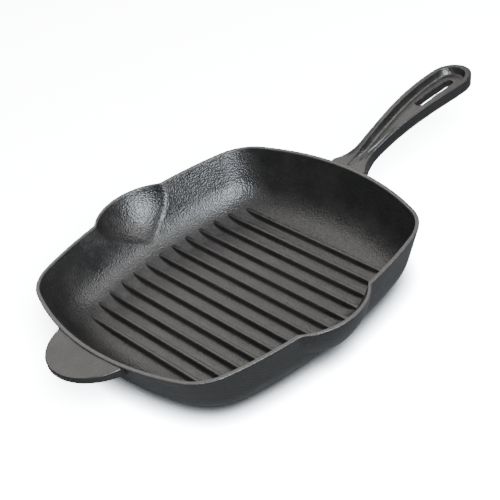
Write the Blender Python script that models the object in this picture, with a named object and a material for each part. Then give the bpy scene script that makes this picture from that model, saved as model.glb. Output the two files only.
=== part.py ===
"""Square grill skillet: one iron casting, drawn as the regions that a foundry drawing names.

Frame: metres, +Z up. The origin is the centre of the flat underside, the long handle points
along +X, the helper tab along -X, and the two pour lips are on the +Y and -Y walls.
"""
import math

import bmesh
import bpy
from mathutils import Vector

# Bowl, measured on the outside at the rim
RIM_HEIGHT = 0.0500          # underside to rim
HALF_LENGTH = 0.1330         # centre to the rim at the handle and tab ends
HALF_WIDTH = 0.1290          # centre to the rim at the sides, between the lips
END_ARC_RADIUS = 0.2570      # the end walls bulge along this arc
SIDE_ARC_RADIUS = 0.2930     # the side walls bulge along this arc
CORNER_RADIUS = 0.0415
CORNER_GROWTH = 0.16         # the corners get rounder towards the base, per unit of inset
DRAFT = math.radians(22.4)   # lean of the walls
OUTER_FILLET = 0.0370        # wall to underside
INNER_FILLET = 0.0300        # wall to cooking floor
RIM_THICKNESS = 0.0037
FLOOR_THICKNESS = 0.0052
RIM_CHAMFER = 0.0006

# Pour lips: half width, reach past the wall, and the depth below the rim where they fade out
LIP_HALF_WIDTH = 0.0345
LIP_REACH = 0.0145
LIP_BLEND = 0.0042
OUTER_LIP_DEPTH = 0.0395
OUTER_LIP_POWER = 3.0
INNER_LIP_DEPTH = 0.0340
INNER_LIP_POWER = 2.4

# Ridges on the cooking floor
RIDGE_COUNT = 13
RIDGE_PITCH = 0.0138
RIDGE_HEIGHT = 0.0044
RIDGE_TOP_WIDTH = 0.0021
RIDGE_FOOT_WIDTH = 0.0040
RIDGE_SHOULDER_SHARE = 0.12  # share of the height that the rounded top takes
RIDGE_FLAT_SHARE = 0.55      # share of the top width that stays flat
RIDGE_END_HEIGHT = 0.0011    # height left where a ridge runs out into the wall fillet

# Helper tab
TAB_DROP = 0.0013            # its top below the rim
TAB_RADIUS = 0.0413
TAB_TIP_X = -0.1612
TAB_TIP_THICKNESS = 0.0046
TAB_ROOT_THICKNESS = 0.0068
TAB_EDGE_ROUND = 0.0010
TAB_ROOT_LIMIT = 1.3         # the tab stops thickening this share of the way under the rim
TAB_STEPS = 16

# Long handle
NECK_X = 0.1550
NECK_HALF_WIDTH = 0.0101
FLARE_RADIUS = 0.0262        # plan radius of the root where it spreads into the rim
FLARE_END_X = 0.1310         # the root keeps its width from here inwards
GRIP_X = 0.2430              # the grip is widest from here to the centre of its round end
GRIP_HALF_WIDTH = 0.0188
END_CENTRE_X = 0.2545
HANDLE_RISE = 0.0168         # top of the grip above the rim
RISE_END_X = 0.2350
RISE_START_PULL = 0.0170     # how far the rise stays nearly level past the rim
RISE_START_LIFT = 0.0010     # and how much it has risen there
RISE_END_PULL = 0.0470       # where the rise would reach its full height in a straight line
HANDLE_THICKNESS = 0.0115
ROOT_EXTRA_THICKNESS = 0.0060
BORDER_WIDTH = 0.0037        # raised border beside the thumb channel
LEAST_BORDER = 0.0002        # left of the border where the round end closes
CHANNEL_DEPTH = 0.0050
CHANNEL_START_X = 0.1370
CHANNEL_END_RADIUS = GRIP_HALF_WIDTH - BORDER_WIDTH
CHANNEL_START_POWER = 0.6    # how bluntly the channel opens at the neck
CHANNEL_END_POWER = 0.35     # how bluntly its floor climbs to the round end
CHANNEL_LEAST_SHARE = 0.25   # least half width of the channel, as a share of the handle's
EDGE_ROUND = 0.0016
EDGE_LEAST_SHARE = 0.3       # the edge round narrows with the handle's end
EDGE_BULGE = 0.3             # setback of a rounded corner's middle, in edge rounds
SIDE_LEAN = 0.0014           # how far the sides draw in towards the bottom
SIDE_LEAN_SHARE = 0.1        # least lean where the handle's end closes, as a share of its half width
ROOT_BOTTOM_SHARE = 0.85     # share of the root's flare that is left at its bottom
ROOT_OVERLAP = 0.0120        # how far the handle's blank reaches into the bowl before it is cut
ROOT_STEPS = 5
GRIP_STEPS = 11
CHANNEL_END_ANGLES = (0.0, 24.0, 42.0, 56.0, 67.0, 76.0, 83.0, 90.0)
GRIP_END_ANGLES = (61.0, 70.0, 79.0, 86.0)
SLOT_START_X = 0.2100
SLOT_END_X = 0.2567
SLOT_HALF_WIDTH = 0.0044
SLOT_STEPS = 8

GAP = 0.0003                 # between neighbouring regions
RUN_OUT = 0.0200             # how far a cutter reaches past what it cuts

HALVINGS = 40                # steps of the search for a height on the handle's rise
LIP_STEPS = (0.0, 0.3, 0.55, 0.78, 0.93, 1.07, 1.25)
CORNER_STEPS = 6
SIDE_STEPS = 3
WALL_STEPS = 3
FILLET_STEPS = 7


def iron(name, base_color, roughness):
    """Seasoned cast iron: nearly black, with the gloss of baked oil."""
    material = bpy.data.materials.new(name)
    material.use_nodes = True
    shader = material.node_tree.nodes["Principled BSDF"]
    shader.inputs["Base Color"].default_value = (*base_color, 1.0)
    shader.inputs["Roughness"].default_value = roughness
    shader.inputs["Metallic"].default_value = 0.85
    material.diffuse_color = (*base_color, 1.0)
    return material


def mesh_object(name, shape, material=None):
    """Turns a bmesh into a named object with outward faces and smooth shading."""
    bmesh.ops.recalc_face_normals(shape, faces=shape.faces)
    mesh = bpy.data.meshes.new(name)
    shape.to_mesh(mesh)
    shape.free()
    mesh.shade_smooth()
    mesh.set_sharp_from_angle(angle=math.radians(35))
    if material is not None:
        mesh.materials.append(material)
    made = bpy.data.objects.new(name, mesh)
    bpy.context.collection.objects.link(made)
    return made


def as_cutter(made):
    made.hide_render = True
    made.display_type = "WIRE"
    return made


def boolean(made, cutter, operation):
    modifier = made.modifiers.new(operation.title(), "BOOLEAN")
    modifier.operation = operation
    modifier.solver = "EXACT"
    modifier.object = cutter


def loft(rings):
    """Closed skin through rings of equally many points, with a flat face on both ends."""
    shape = bmesh.new()
    loops = []
    for ring in rings:
        loops.append([shape.verts.new(point) for point in ring])
    for lower, upper in zip(loops, loops[1:]):
        for index in range(len(lower)):
            following = (index + 1) % len(lower)
            corners = (lower[index], lower[following], upper[following], upper[index])
            shape.faces.new(corners)
    shape.faces.new(loops[0])
    shape.faces.new(loops[-1])
    return shape


def corner_circle(half_x, half_y, radius):
    """Centre of the circle inside the first quadrant that touches both side arcs."""
    end_centre = Vector((half_x - END_ARC_RADIUS, 0.0))
    side_centre = Vector((0.0, half_y - SIDE_ARC_RADIUS))
    to_end = END_ARC_RADIUS - radius
    to_side = SIDE_ARC_RADIUS - radius
    span = side_centre - end_centre
    along = (to_end ** 2 - to_side ** 2 + span.length_squared) / (2.0 * span.length)
    across = math.sqrt(to_end ** 2 - along ** 2)
    direction = span.normalized()
    normal = Vector((-direction.y, direction.x))
    return end_centre + direction * along + normal * across


def lip_bulge(x, wall_y, centre_y, end_y, fade):
    """Y of the wall at x once the lip is added: an arc over the wall, blended at its feet."""
    half = LIP_HALF_WIDTH * fade
    rise = LIP_REACH * fade + centre_y - end_y
    radius = (half ** 2 + rise ** 2) / (2.0 * rise)
    if x >= radius:
        return wall_y
    arc_y = end_y + rise - radius + math.sqrt(radius ** 2 - x ** 2)
    blend = LIP_BLEND * fade
    mix = min(1.0, max(0.0, 0.5 + 0.5 * (arc_y - wall_y) / blend))
    return wall_y + (arc_y - wall_y) * mix + blend * mix * (1.0 - mix)


def plan_ring(inset, thickness, z, fade):
    """One horizontal outline of the bowl: four quadrants of side arc, corner arc, end arc."""
    half_x = HALF_LENGTH - thickness - inset
    half_y = HALF_WIDTH - thickness - inset
    radius = CORNER_RADIUS - thickness + CORNER_GROWTH * inset
    corner = corner_circle(half_x, half_y, radius)
    end_x = half_x - END_ARC_RADIUS
    side_y = half_y - SIDE_ARC_RADIUS
    side_angle = math.atan2(corner.y - side_y, corner.x)
    end_angle = math.atan2(corner.y, corner.x - end_x)

    def wall_y(x):
        return side_y + math.sqrt(SIDE_ARC_RADIUS ** 2 - x ** 2)

    spread = LIP_HALF_WIDTH * (0.5 + 0.5 * fade)
    quadrant = []
    for step in LIP_STEPS:
        x = spread * step
        y = wall_y(x)
        if fade > 0.0:
            y = lip_bulge(x, y, wall_y(0.0), wall_y(LIP_HALF_WIDTH * fade), fade)
        quadrant.append((x, y))
    last_angle = math.acos(quadrant[-1][0] / SIDE_ARC_RADIUS)
    for step in range(1, SIDE_STEPS):
        angle = last_angle + (side_angle - last_angle) * step / SIDE_STEPS
        reach = SIDE_ARC_RADIUS
        quadrant.append((reach * math.cos(angle), side_y + reach * math.sin(angle)))
    for step in range(CORNER_STEPS + 1):
        angle = side_angle + (end_angle - side_angle) * step / CORNER_STEPS
        quadrant.append((corner.x + radius * math.cos(angle), corner.y + radius * math.sin(angle)))
    for step in range(1, SIDE_STEPS + 1):
        angle = end_angle * (1.0 - step / SIDE_STEPS)
        quadrant.append((end_x + END_ARC_RADIUS * math.cos(angle), END_ARC_RADIUS * math.sin(angle)))

    right_back = quadrant
    right_front = [(x, -y) for x, y in reversed(quadrant[:-1])]
    left_front = [(-x, -y) for x, y in quadrant[1:]]
    left_back = [(-x, y) for x, y in reversed(quadrant[1:-1])]
    return [(x, y, z) for x, y in right_back + right_front + left_front + left_back]


def wall_profile(depth, fillet):
    """(depth, inset) pairs down a drafted wall and round its fillet to a floor at depth."""
    fillet_depth = depth - fillet
    tangent_depth = fillet_depth + fillet * math.sin(DRAFT)
    centre_inset = tangent_depth * math.tan(DRAFT) + fillet * math.cos(DRAFT)
    profile = []
    for step in range(WALL_STEPS):
        down = tangent_depth * step / WALL_STEPS
        profile.append((down, down * math.tan(DRAFT)))
    for step in range(FILLET_STEPS + 1):
        angle = DRAFT + (math.pi / 2.0 - DRAFT) * step / FILLET_STEPS
        down = fillet_depth + fillet * math.sin(angle)
        profile.append((down, centre_inset - fillet * math.cos(angle)))
    return profile


def lip_fade(depth, lip_depth, power):
    return max(0.0, 1.0 - (max(depth, 0.0) / lip_depth) ** power)


def outside_rings(clearance):
    """Rings from the rim down the outside to the underside, grown outwards by clearance."""
    rings = []
    for depth, inset in wall_profile(RIM_HEIGHT + clearance, OUTER_FILLET + clearance):
        fade = lip_fade(depth, OUTER_LIP_DEPTH, OUTER_LIP_POWER)
        rings.append(plan_ring(inset, -clearance, RIM_HEIGHT - depth, fade))
    return rings


def cavity_rings(clearance):
    """Rings from the rim down the inside to the cooking floor, drawn inwards by clearance."""
    floor_depth = RIM_HEIGHT - FLOOR_THICKNESS - clearance
    rings = []
    for depth, inset in wall_profile(floor_depth, INNER_FILLET - clearance):
        fade = lip_fade(depth, INNER_LIP_DEPTH, INNER_LIP_POWER)
        rings.append(plan_ring(inset, RIM_THICKNESS + clearance, RIM_HEIGHT - depth, fade))
    return rings


def pan_body(material):
    """Underside, outer wall, chamfered rim, inner wall and cooking floor in one closed skin."""
    outside = outside_rings(0.0)
    cavity = cavity_rings(0.0)
    outer_edge = plan_ring(0.0, RIM_CHAMFER, RIM_HEIGHT, 1.0)
    inner_edge = plan_ring(0.0, RIM_THICKNESS - RIM_CHAMFER, RIM_HEIGHT, 1.0)
    below_edge = RIM_HEIGHT - RIM_CHAMFER
    outside[0] = [(x, y, below_edge) for x, y, z in outside[0]]
    cavity[0] = [(x, y, below_edge) for x, y, z in cavity[0]]
    rings = list(reversed(outside)) + [outer_edge, inner_edge] + cavity
    return mesh_object("pan_body", loft(rings), material)


def pan_cutter():
    """The bowl as a solid block, a gap larger than the casting and open upwards."""
    rings = outside_rings(GAP)
    raised = [(x, y, RIM_HEIGHT + RUN_OUT) for x, y, z in rings[0]]
    return as_cutter(mesh_object("bowl_clearance", loft([raised] + rings)))


def cavity_trimmer():
    """The room inside the bowl, a gap smaller than the bowl."""
    rings = cavity_rings(GAP)
    raised = [(x, y, RIM_HEIGHT + RUN_OUT) for x, y, z in rings[0]]
    return as_cutter(mesh_object("cavity_clearance", loft([raised] + rings)))


def floor_reach(x, depth):
    """Half length, along Y at x, of the room inside the bowl at a depth below the rim."""
    floor_depth = RIM_HEIGHT - FLOOR_THICKNESS
    fillet_depth = floor_depth - INNER_FILLET
    tangent_depth = fillet_depth + INNER_FILLET * math.sin(DRAFT)
    centre_inset = tangent_depth * math.tan(DRAFT) + INNER_FILLET * math.cos(DRAFT)
    inset = centre_inset - math.sqrt(INNER_FILLET ** 2 - (depth - fillet_depth) ** 2)
    half_x = HALF_LENGTH - RIM_THICKNESS - inset
    half_y = HALF_WIDTH - RIM_THICKNESS - inset
    radius = CORNER_RADIUS - RIM_THICKNESS + CORNER_GROWTH * inset
    corner = corner_circle(half_x, half_y, radius)
    side_y = half_y - SIDE_ARC_RADIUS
    touch_x = SIDE_ARC_RADIUS * corner.x / math.hypot(corner.x, corner.y - side_y)
    if abs(x) <= touch_x:
        return side_y + math.sqrt(SIDE_ARC_RADIUS ** 2 - x ** 2)
    return corner.y + math.sqrt(radius ** 2 - (abs(x) - corner.x) ** 2)


def grill_ridge(number, trimmer, material):
    """A tapered bar along Y, whose ends run out where the wall fillet rises to meet it."""
    x = (number - (RIDGE_COUNT + 1) / 2.0) * RIDGE_PITCH
    top = FLOOR_THICKNESS + RIDGE_HEIGHT
    bottom = FLOOR_THICKNESS - GAP
    reach = floor_reach(x, RIM_HEIGHT - top + RIDGE_END_HEIGHT)
    half_top = RIDGE_TOP_WIDTH / 2.0
    half_foot = RIDGE_FOOT_WIDTH / 2.0
    half_flat = half_top * RIDGE_FLAT_SHARE
    shoulder = top - RIDGE_HEIGHT * RIDGE_SHOULDER_SHARE
    section = (
        (half_foot, bottom),
        (half_top, shoulder),
        (half_flat, top),
        (-half_flat, top),
        (-half_top, shoulder),
        (-half_foot, bottom),
    )
    rings = [[(x + across, y, z) for across, z in section] for y in (-reach, reach)]
    ridge = mesh_object(f"grill_ridge_{number:02d}", loft(rings), material)
    boolean(ridge, trimmer, "INTERSECT")
    return ridge


def helper_tab(cutter, material):
    """Half-round plate under the rim line, a little thicker at its root."""
    centre_x = TAB_TIP_X + TAB_RADIUS
    top = RIM_HEIGHT - TAB_DROP
    shape = bmesh.new()
    outline = []
    for step in range(TAB_STEPS + 1):
        angle = math.radians(90.0 + 180.0 * step / TAB_STEPS)
        x = centre_x + TAB_RADIUS * math.cos(angle)
        outline.append(shape.verts.new((x, TAB_RADIUS * math.sin(angle), top)))
    plate = shape.faces.new(outline)
    extruded = bmesh.ops.extrude_face_region(shape, geom=[plate])
    for element in extruded["geom"]:
        if isinstance(element, bmesh.types.BMVert):
            along = (element.co.x - TAB_TIP_X) / (-HALF_LENGTH - TAB_TIP_X)
            grown = TAB_ROOT_THICKNESS - TAB_TIP_THICKNESS
            element.co.z -= TAB_TIP_THICKNESS + grown * min(along, TAB_ROOT_LIMIT)
    rounds = []
    for edge in shape.edges:
        start, end = (vert.co for vert in edge.verts)
        level = abs(start.z - end.z) < TAB_EDGE_ROUND / 2.0
        if level and min(start.x, end.x) < centre_x:
            rounds.append(edge)
    bmesh.ops.bevel(shape, geom=rounds, offset=TAB_EDGE_ROUND, segments=2, profile=0.5, affect="EDGES")
    tab = mesh_object("helper_tab", shape, material)
    boolean(tab, cutter, "DIFFERENCE")
    return tab


def handle_top(x):
    """Height of the handle's borders: a swept rise from the rim to the level grip."""
    if x <= HALF_LENGTH:
        return RIM_HEIGHT
    if x >= RISE_END_X:
        return RIM_HEIGHT + HANDLE_RISE
    controls_x = (HALF_LENGTH, HALF_LENGTH + RISE_START_PULL, HALF_LENGTH + RISE_END_PULL, RISE_END_X)
    controls_z = (0.0, RISE_START_LIFT, HANDLE_RISE, HANDLE_RISE)
    low = 0.0
    high = 1.0
    for _ in range(HALVINGS):
        middle = 0.5 * (low + high)
        if bezier(controls_x, middle) < x:
            low = middle
        else:
            high = middle
    return RIM_HEIGHT + bezier(controls_z, low)


def bezier(controls, t):
    start, first, second, end = controls
    away = 1.0 - t
    return start * away ** 3 + 3.0 * first * away ** 2 * t + 3.0 * second * away * t ** 2 + end * t ** 3


def handle_half_width(x):
    """Plan outline: root flare, neck, widening grip, round end."""
    if x < NECK_X:
        back = NECK_X - max(x, FLARE_END_X)
        return NECK_HALF_WIDTH + FLARE_RADIUS - math.sqrt(FLARE_RADIUS ** 2 - back ** 2)
    if x > END_CENTRE_X:
        return math.sqrt(max(0.0, GRIP_HALF_WIDTH ** 2 - (x - END_CENTRE_X) ** 2))
    t = min(1.0, (x - NECK_X) / (GRIP_X - NECK_X))
    eased = 0.5 * t + 0.5 * (3.0 * t ** 2 - 2.0 * t ** 3)
    return NECK_HALF_WIDTH + (GRIP_HALF_WIDTH - NECK_HALF_WIDTH) * eased


def channel_size(x):
    """Half width and depth of the thumb channel, which fades in at the neck."""
    half = handle_half_width(x) - BORDER_WIDTH
    depth = CHANNEL_DEPTH
    if x < NECK_X:
        open_share = max(0.0, (x - CHANNEL_START_X) / (NECK_X - CHANNEL_START_X))
        half = (NECK_HALF_WIDTH - BORDER_WIDTH) * open_share ** CHANNEL_START_POWER
        depth = CHANNEL_DEPTH * open_share ** CHANNEL_START_POWER
    if x > END_CENTRE_X:
        round_off = max(0.0, 1.0 - ((x - END_CENTRE_X) / CHANNEL_END_RADIUS) ** 2)
        half = CHANNEL_END_RADIUS * math.sqrt(round_off)
        depth = CHANNEL_DEPTH * round_off ** CHANNEL_END_POWER
    return half, depth


def handle_ring(x):
    """Section across the handle at x, starting at the middle of the thumb channel."""
    half = handle_half_width(x)
    top = handle_top(x)
    channel_half, channel_depth = channel_size(x)
    channel_half = max(channel_half, half * CHANNEL_LEAST_SHARE)
    edge = min(EDGE_ROUND, half * EDGE_LEAST_SHARE)
    lean = min(SIDE_LEAN, half * SIDE_LEAN_SHARE)
    thickness = HANDLE_THICKNESS
    if x < NECK_X:
        thickness += ROOT_EXTRA_THICKNESS * ((NECK_X - x) / (NECK_X - HALF_LENGTH)) ** 2
        lean += (half - NECK_HALF_WIDTH) * (1.0 - ROOT_BOTTOM_SHARE)
    side = []
    for step in range(1, 4):
        angle = math.radians(30.0 * step)
        side.append((channel_half * math.sin(angle), top - channel_depth * math.cos(angle)))
    bottom = top - thickness
    bulge = EDGE_BULGE * edge
    side.append((max(half - edge, channel_half + LEAST_BORDER), top))
    side.append((half - bulge, top - bulge))
    side.append((half, top - edge))
    side.append((half - lean, bottom + 2.0 * edge))
    side.append((half - lean - 2.0 * bulge, bottom + 2.0 * bulge))
    side.append((half - lean - 2.0 * edge, bottom))
    ring = [(x, 0.0, top - channel_depth)]
    ring += [(x, y, z) for y, z in side]
    ring.append((x, 0.0, bottom))
    ring += [(x, -y, z) for y, z in reversed(side)]
    return ring


def slot_cutter():
    """Upright prism with round ends for the hanging slot."""
    low = RIM_HEIGHT - RUN_OUT
    high = RIM_HEIGHT + HANDLE_RISE + RUN_OUT
    radius = SLOT_HALF_WIDTH
    outline = []
    for centre_x, start in ((SLOT_END_X - radius, -90.0), (SLOT_START_X + radius, 90.0)):
        for step in range(SLOT_STEPS + 1):
            angle = math.radians(start + 180.0 * step / SLOT_STEPS)
            outline.append((centre_x + radius * math.cos(angle), radius * math.sin(angle)))
    rings = [[(x, y, z) for x, y in outline] for z in (low, high)]
    return as_cutter(mesh_object("slot_cutter", loft(rings)))


def long_handle(bowl, slot, material):
    """Arched handle with a thumb channel between raised borders and a hanging slot."""
    start_x = HALF_LENGTH - ROOT_OVERLAP
    stations = [start_x, start_x + ROOT_OVERLAP / 2.0]
    for step in range(ROOT_STEPS):
        stations.append(HALF_LENGTH + (NECK_X - HALF_LENGTH) * step / ROOT_STEPS)
    for step in range(GRIP_STEPS):
        stations.append(NECK_X + (END_CENTRE_X - NECK_X) * step / GRIP_STEPS)
    for degrees in CHANNEL_END_ANGLES:
        stations.append(END_CENTRE_X + CHANNEL_END_RADIUS * math.sin(math.radians(degrees)))
    for degrees in GRIP_END_ANGLES:
        stations.append(END_CENTRE_X + GRIP_HALF_WIDTH * math.sin(math.radians(degrees)))
    handle = mesh_object("long_handle", loft([handle_ring(x) for x in stations]), material)
    boolean(handle, bowl, "DIFFERENCE")
    boolean(handle, slot, "DIFFERENCE")
    return handle


def main():
    for old in list(bpy.data.objects):
        bpy.data.objects.remove(old, do_unlink=True)
    bowl_iron = iron("bowl_iron", (0.045, 0.043, 0.041), 0.46)
    ridge_iron = iron("ridge_iron", (0.055, 0.052, 0.049), 0.42)
    handle_iron = iron("handle_iron", (0.048, 0.046, 0.043), 0.44)
    tab_iron = iron("tab_iron", (0.060, 0.056, 0.053), 0.50)
    bowl = pan_cutter()
    trimmer = cavity_trimmer()
    slot = slot_cutter()
    pan_body(bowl_iron)
    for number in range(1, RIDGE_COUNT + 1):
        grill_ridge(number, trimmer, ridge_iron)
    helper_tab(bowl, tab_iron)
    long_handle(bowl, slot, handle_iron)


main()
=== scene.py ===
"""Square grill skillet, looks: one seamless iron casting of bowl, ridges, handle and tab on a pale table.

Frame: metres, +Z up, origin at the centre of the flat underside. The long handle points along +X,
the helper tab along -X, and the pour lips are on the +Y and -Y walls.
"""

import math

import bmesh
import bpy
import numpy as np
from mathutils import Matrix, Vector


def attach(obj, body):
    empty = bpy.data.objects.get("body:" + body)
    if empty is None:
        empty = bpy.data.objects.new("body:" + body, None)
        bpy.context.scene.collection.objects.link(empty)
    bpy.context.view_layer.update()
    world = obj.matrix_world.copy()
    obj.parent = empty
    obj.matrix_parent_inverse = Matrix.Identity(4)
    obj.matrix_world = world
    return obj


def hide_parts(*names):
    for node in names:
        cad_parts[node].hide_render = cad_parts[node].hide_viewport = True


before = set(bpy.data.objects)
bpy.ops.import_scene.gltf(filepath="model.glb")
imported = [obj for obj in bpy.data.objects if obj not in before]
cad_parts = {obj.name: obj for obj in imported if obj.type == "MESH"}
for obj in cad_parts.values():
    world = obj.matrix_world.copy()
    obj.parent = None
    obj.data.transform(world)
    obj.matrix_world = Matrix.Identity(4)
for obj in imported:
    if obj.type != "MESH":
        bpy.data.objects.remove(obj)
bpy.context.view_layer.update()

MM = 0.001

# Meshes
MERGE_DISTANCE = 2e-6
SHORTEST_EDGE = 1e-6
SHARP_ANGLE = math.radians(50)

# Bowl
RIM_Z = 50.0 * MM
HALF_LENGTH = 133.0 * MM
HALF_WIDTH = 129.0 * MM
END_BULGE_RADIUS = 257.0 * MM
SIDE_BULGE_RADIUS = 293.0 * MM
CORNER_RADIUS = 41.5 * MM
CORNER_GROWTH = 0.16
DRAFT = math.radians(22.4)
WALL = 3.7 * MM
FLOOR = 5.2 * MM
OUTER_FILLET = 37.0 * MM
INNER_FILLET = 36.0 * MM
RIM_OUTER_ROUND = 0.8 * MM
RIM_INNER_ROUND = 0.7 * MM
RIM_OUTER_STEPS = 9
RIM_INNER_STEPS = 8
SIDE_STEPS = 74
SIDE_CROWDING = 0.38
CORNER_STEPS = 20
END_STEPS = 26
FLAT_RINGS = (0.12, 0.4, 0.7, 0.9)

# Pour lips
LIP_HALF = 34.3 * MM
LIP_REACH = 14.45 * MM
LIP_BLEND = 2.0 * MM
OUTER_LIP_DEPTH = 39.5 * MM
OUTER_LIP_POWER = 3.0
INNER_LIP_DEPTH = 34.0 * MM
INNER_LIP_POWER = 2.4
LEAST_FADE = 1e-4

# Ridges
RIDGE_COUNT = 13
RIDGE_PITCH = 13.8 * MM
RIDGE_HEIGHT = 4.4 * MM
RIDGE_HALF_TOP = 1.75 * MM
RIDGE_EDGE_ROUND = 1.4 * MM
RIDGE_DRAFT = math.radians(12.0)
RIDGE_FOOT_FILLET = 2.5 * MM
RIDGE_TIP = 1.3 * MM
RIDGE_PAST_TIP = 0.5 * MM
RIDGE_EDGE_SHARE = 0.35
RIDGE_TOP_SHARE = 0.8
RIDGE_FOOT_SHARE = 0.62
RIDGE_LEAST_TOP = 0.02
RIDGE_LEAST_GAP = 0.02 * MM
RIDGE_SINK_RATE = 1.2
RIDGE_FOOT_SINK = 0.05 * MM
RIDGE_UNDER = 1.6 * MM
RIDGE_REACH_FROM = 60.0 * MM
RIDGE_REACH_TO = 115.0 * MM
RIDGE_TRIALS = 400
RIDGE_STATIONS = 121
RIDGE_EDGE_STEPS = 6
RIDGE_SIDE_STEPS = 5
RIDGE_FOOT_STEPS = 12
CAVITY_HALVINGS = 36

# Helper tab
TAB_DROP = 1.3 * MM
TAB_RADIUS = 41.3 * MM
TAB_CENTRE_X = -119.9 * MM
TAB_TIP_THICKNESS = 4.6 * MM
TAB_ROOT_THICKNESS = 6.8 * MM
TAB_EDGE_ROUND = 1.1 * MM
TAB_CORNER_FILLET = 1.0 * MM
TAB_UNDER_FILLET = 1.5 * MM
TAB_STEP_FILLET = 0.5 * MM
TAB_START_GAP = -1.0 * MM
TAB_SUNK = 1.9 * MM
TAB_LEAST_REACH = 0.05 * MM
TAB_THICKEST_SHARE = 1.2
TAB_TRIALS = 2000
TAB_STATIONS = 141
TAB_FACE_STEPS = 14
TAB_ROUND_STEPS = 10
TAB_FIRST_TURN = 0.05

# Long handle
NECK_X = 155.0 * MM
NECK_HALF = 10.1 * MM
FLARE_RADIUS = 26.2 * MM
FLARE_START_X = 132.4 * MM
GRIP_X = 243.0 * MM
GRIP_HALF = 18.8 * MM
END_X = 254.5 * MM
HANDLE_RISE = 16.8 * MM
RISE_END_X = 235.0 * MM
RISE_FIRST_PULL = 17.0 * MM
RISE_FIRST_LIFT = 1.0 * MM
RISE_SECOND_PULL = 47.0 * MM
RISE_STEPS = 400
HANDLE_THICKNESS = 11.5 * MM
UNDER_FILLET = 12.0 * MM
BORDER = 5.3 * MM
CHANNEL_DEPTH = 5.6 * MM
CHANNEL_START_X = 133.3 * MM
CHANNEL_PIT = 1.5 * MM
CHANNEL_PIT_HALF = 1.6 * MM
CHANNEL_FULL_X = 166.0 * MM
CHANNEL_BANK = 3.4 * MM
CHANNEL_BANK_POWER = 1.8
CHANNEL_LIP_ROUND = 0.9 * MM
CHANNEL_PIT_SHARE = 0.36
CHANNEL_END_FADE = 2.0 * MM
CHANNEL_WIDEST_SHARE = 0.96
BANK_WIDEST_SHARE = 0.98
LEAST_BANK = 0.001 * MM
HANDLE_EDGE_ROUND = 1.2 * MM
LEAST_EDGE_ROUND = 0.3 * MM
EDGE_ROUND_SHARE = 0.55
INNER_ROUND_SHARE = 0.45
HANDLE_UNDER_ROUND = 2.6 * MM
HANDLE_LEAN = 1.4 * MM
LEAN_GROWS_X = (136.0 * MM, 166.0 * MM)
FLARE_BOTTOM_SHARE = 1.25
FLARE_FADES_X = (150.0 * MM, 156.0 * MM)
SLOT_START_X = 215.3 * MM
SLOT_END_X = 256.7 * MM
SLOT_HALF = 3.8 * MM
SLOT_EDGE_ROUND = 0.6 * MM
SLOT_TOOL_BELOW = 20.0 * MM
SLOT_TOOL_ABOVE = 40.0 * MM
SLOT_ROUND_STEPS = 25

# Valley that splits the border where the root flares
VALLEY_DEPTH = 1.0 * MM
VALLEY_GROWS_X = (137.0 * MM, 146.0 * MM)
VALLEY_FADES_X = (158.0 * MM, 192.0 * MM)
VALLEY_INNER_CREST = 1.3 * MM
VALLEY_OUTER_CREST = 1.2 * MM
VALLEY_LEAST_WIDTH = 0.3 * MM
VALLEY_FALL = (0.0, 0.34)
VALLEY_CLIMB = (0.3, 1.0)

# Start of the handle, hidden in the wall and under the rim
BURIED_LENGTH = 1.8 * MM
BURIED_DROP = 0.25 * MM
ROOT_DROP = 0.02 * MM
ROOT_DROP_FADES_X = (133.0 * MM, 137.0 * MM)

# Sections of the handle: runs of (start, end, count) in millimetres, then an arc round the end
HANDLE_RUNS = ((131.2, 137.0, 10), (137.0, 165.0, 44), (165.0, 208.0, 36), (208.0, 254.5, 76))
HANDLE_END_ANGLE = math.radians(88.8)
HANDLE_END_STEPS = 40
CHANNEL_STEPS = 26
BORDER_STEPS = 26
HANDLE_SIDE_STEPS = 12
HANDLE_EDGE_STEPS = 10
HANDLE_FLAT_STEPS = 8

# Seasoning: colours where the oil is thick and thin, and a lighter, partly metallic iron on the rim's top
# that is worn seasoning and a painted highlight
THICK_OIL = (0.008, 0.0078, 0.0075)
THIN_OIL = (0.012, 0.0112, 0.0105)
TAB_THICK_OIL = (0.010, 0.0095, 0.009)
TAB_THIN_OIL = (0.014, 0.013, 0.012)
GLOSS_SPREAD = 0.05
RIM_WEAR_AND_SHEEN_IRON = (0.24, 0.23, 0.22, 1.0)
RIM_WEAR_AND_SHEEN_SHARE = 0.18
RIM_WEAR_AND_SHEEN_DEPTH = 0.9 * MM
RIM_WEAR_AND_SHEEN_BAND = 0.7 * MM

# Cast grain: sizes against the grains, or per metre, and shares in the height and in the mask
FINE_RATIO = 1.9
SWELL_PER_METRE = 140.0
PATCHES_PER_METRE = 42.0
FINE_SHARE = 0.55
WARP_SHARE = 0.6
WARP_HEIGHT = 0.8
SWELL_HEIGHT = 1.2

# Light: what the pan receives, and how bright the table and room look to the eye
BACK_POWER = 19.0
FRONT_POWER = 78.0
RIGHT_POWER = 16.0
TOP_POWER = 12.0
ROOM_THROWN = 0.12
ROOM_SEEN = 12.0
TABLE_THROWN = 0.20
TABLE_SEEN = 12.0
# Painted contact shadow on the table: its reach, its depth as a power, and its samples.
CONTACT_SHADOW_REACH = 18.0 * MM
CONTACT_SHADOW_POWER = 2.6
CONTACT_SHADOW_SAMPLES = 16
TABLE_HALF_SIDE = 6.0
TABLE_DROP = 0.1 * MM

# Camera
CAMERA_AZIMUTH = math.radians(-31.40)
CAMERA_HEIGHT = math.radians(34.04)
CAMERA_ROLL = math.radians(-16.28)
CAMERA_AIM = (0.04457, 0.03464, 0.0096)
CAMERA_DISTANCE = 1.1744
CAMERA_LENS = 105.65
CAMERA_SENSOR = 36.0


# ---------------------------------------------------------------- meshes

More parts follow.
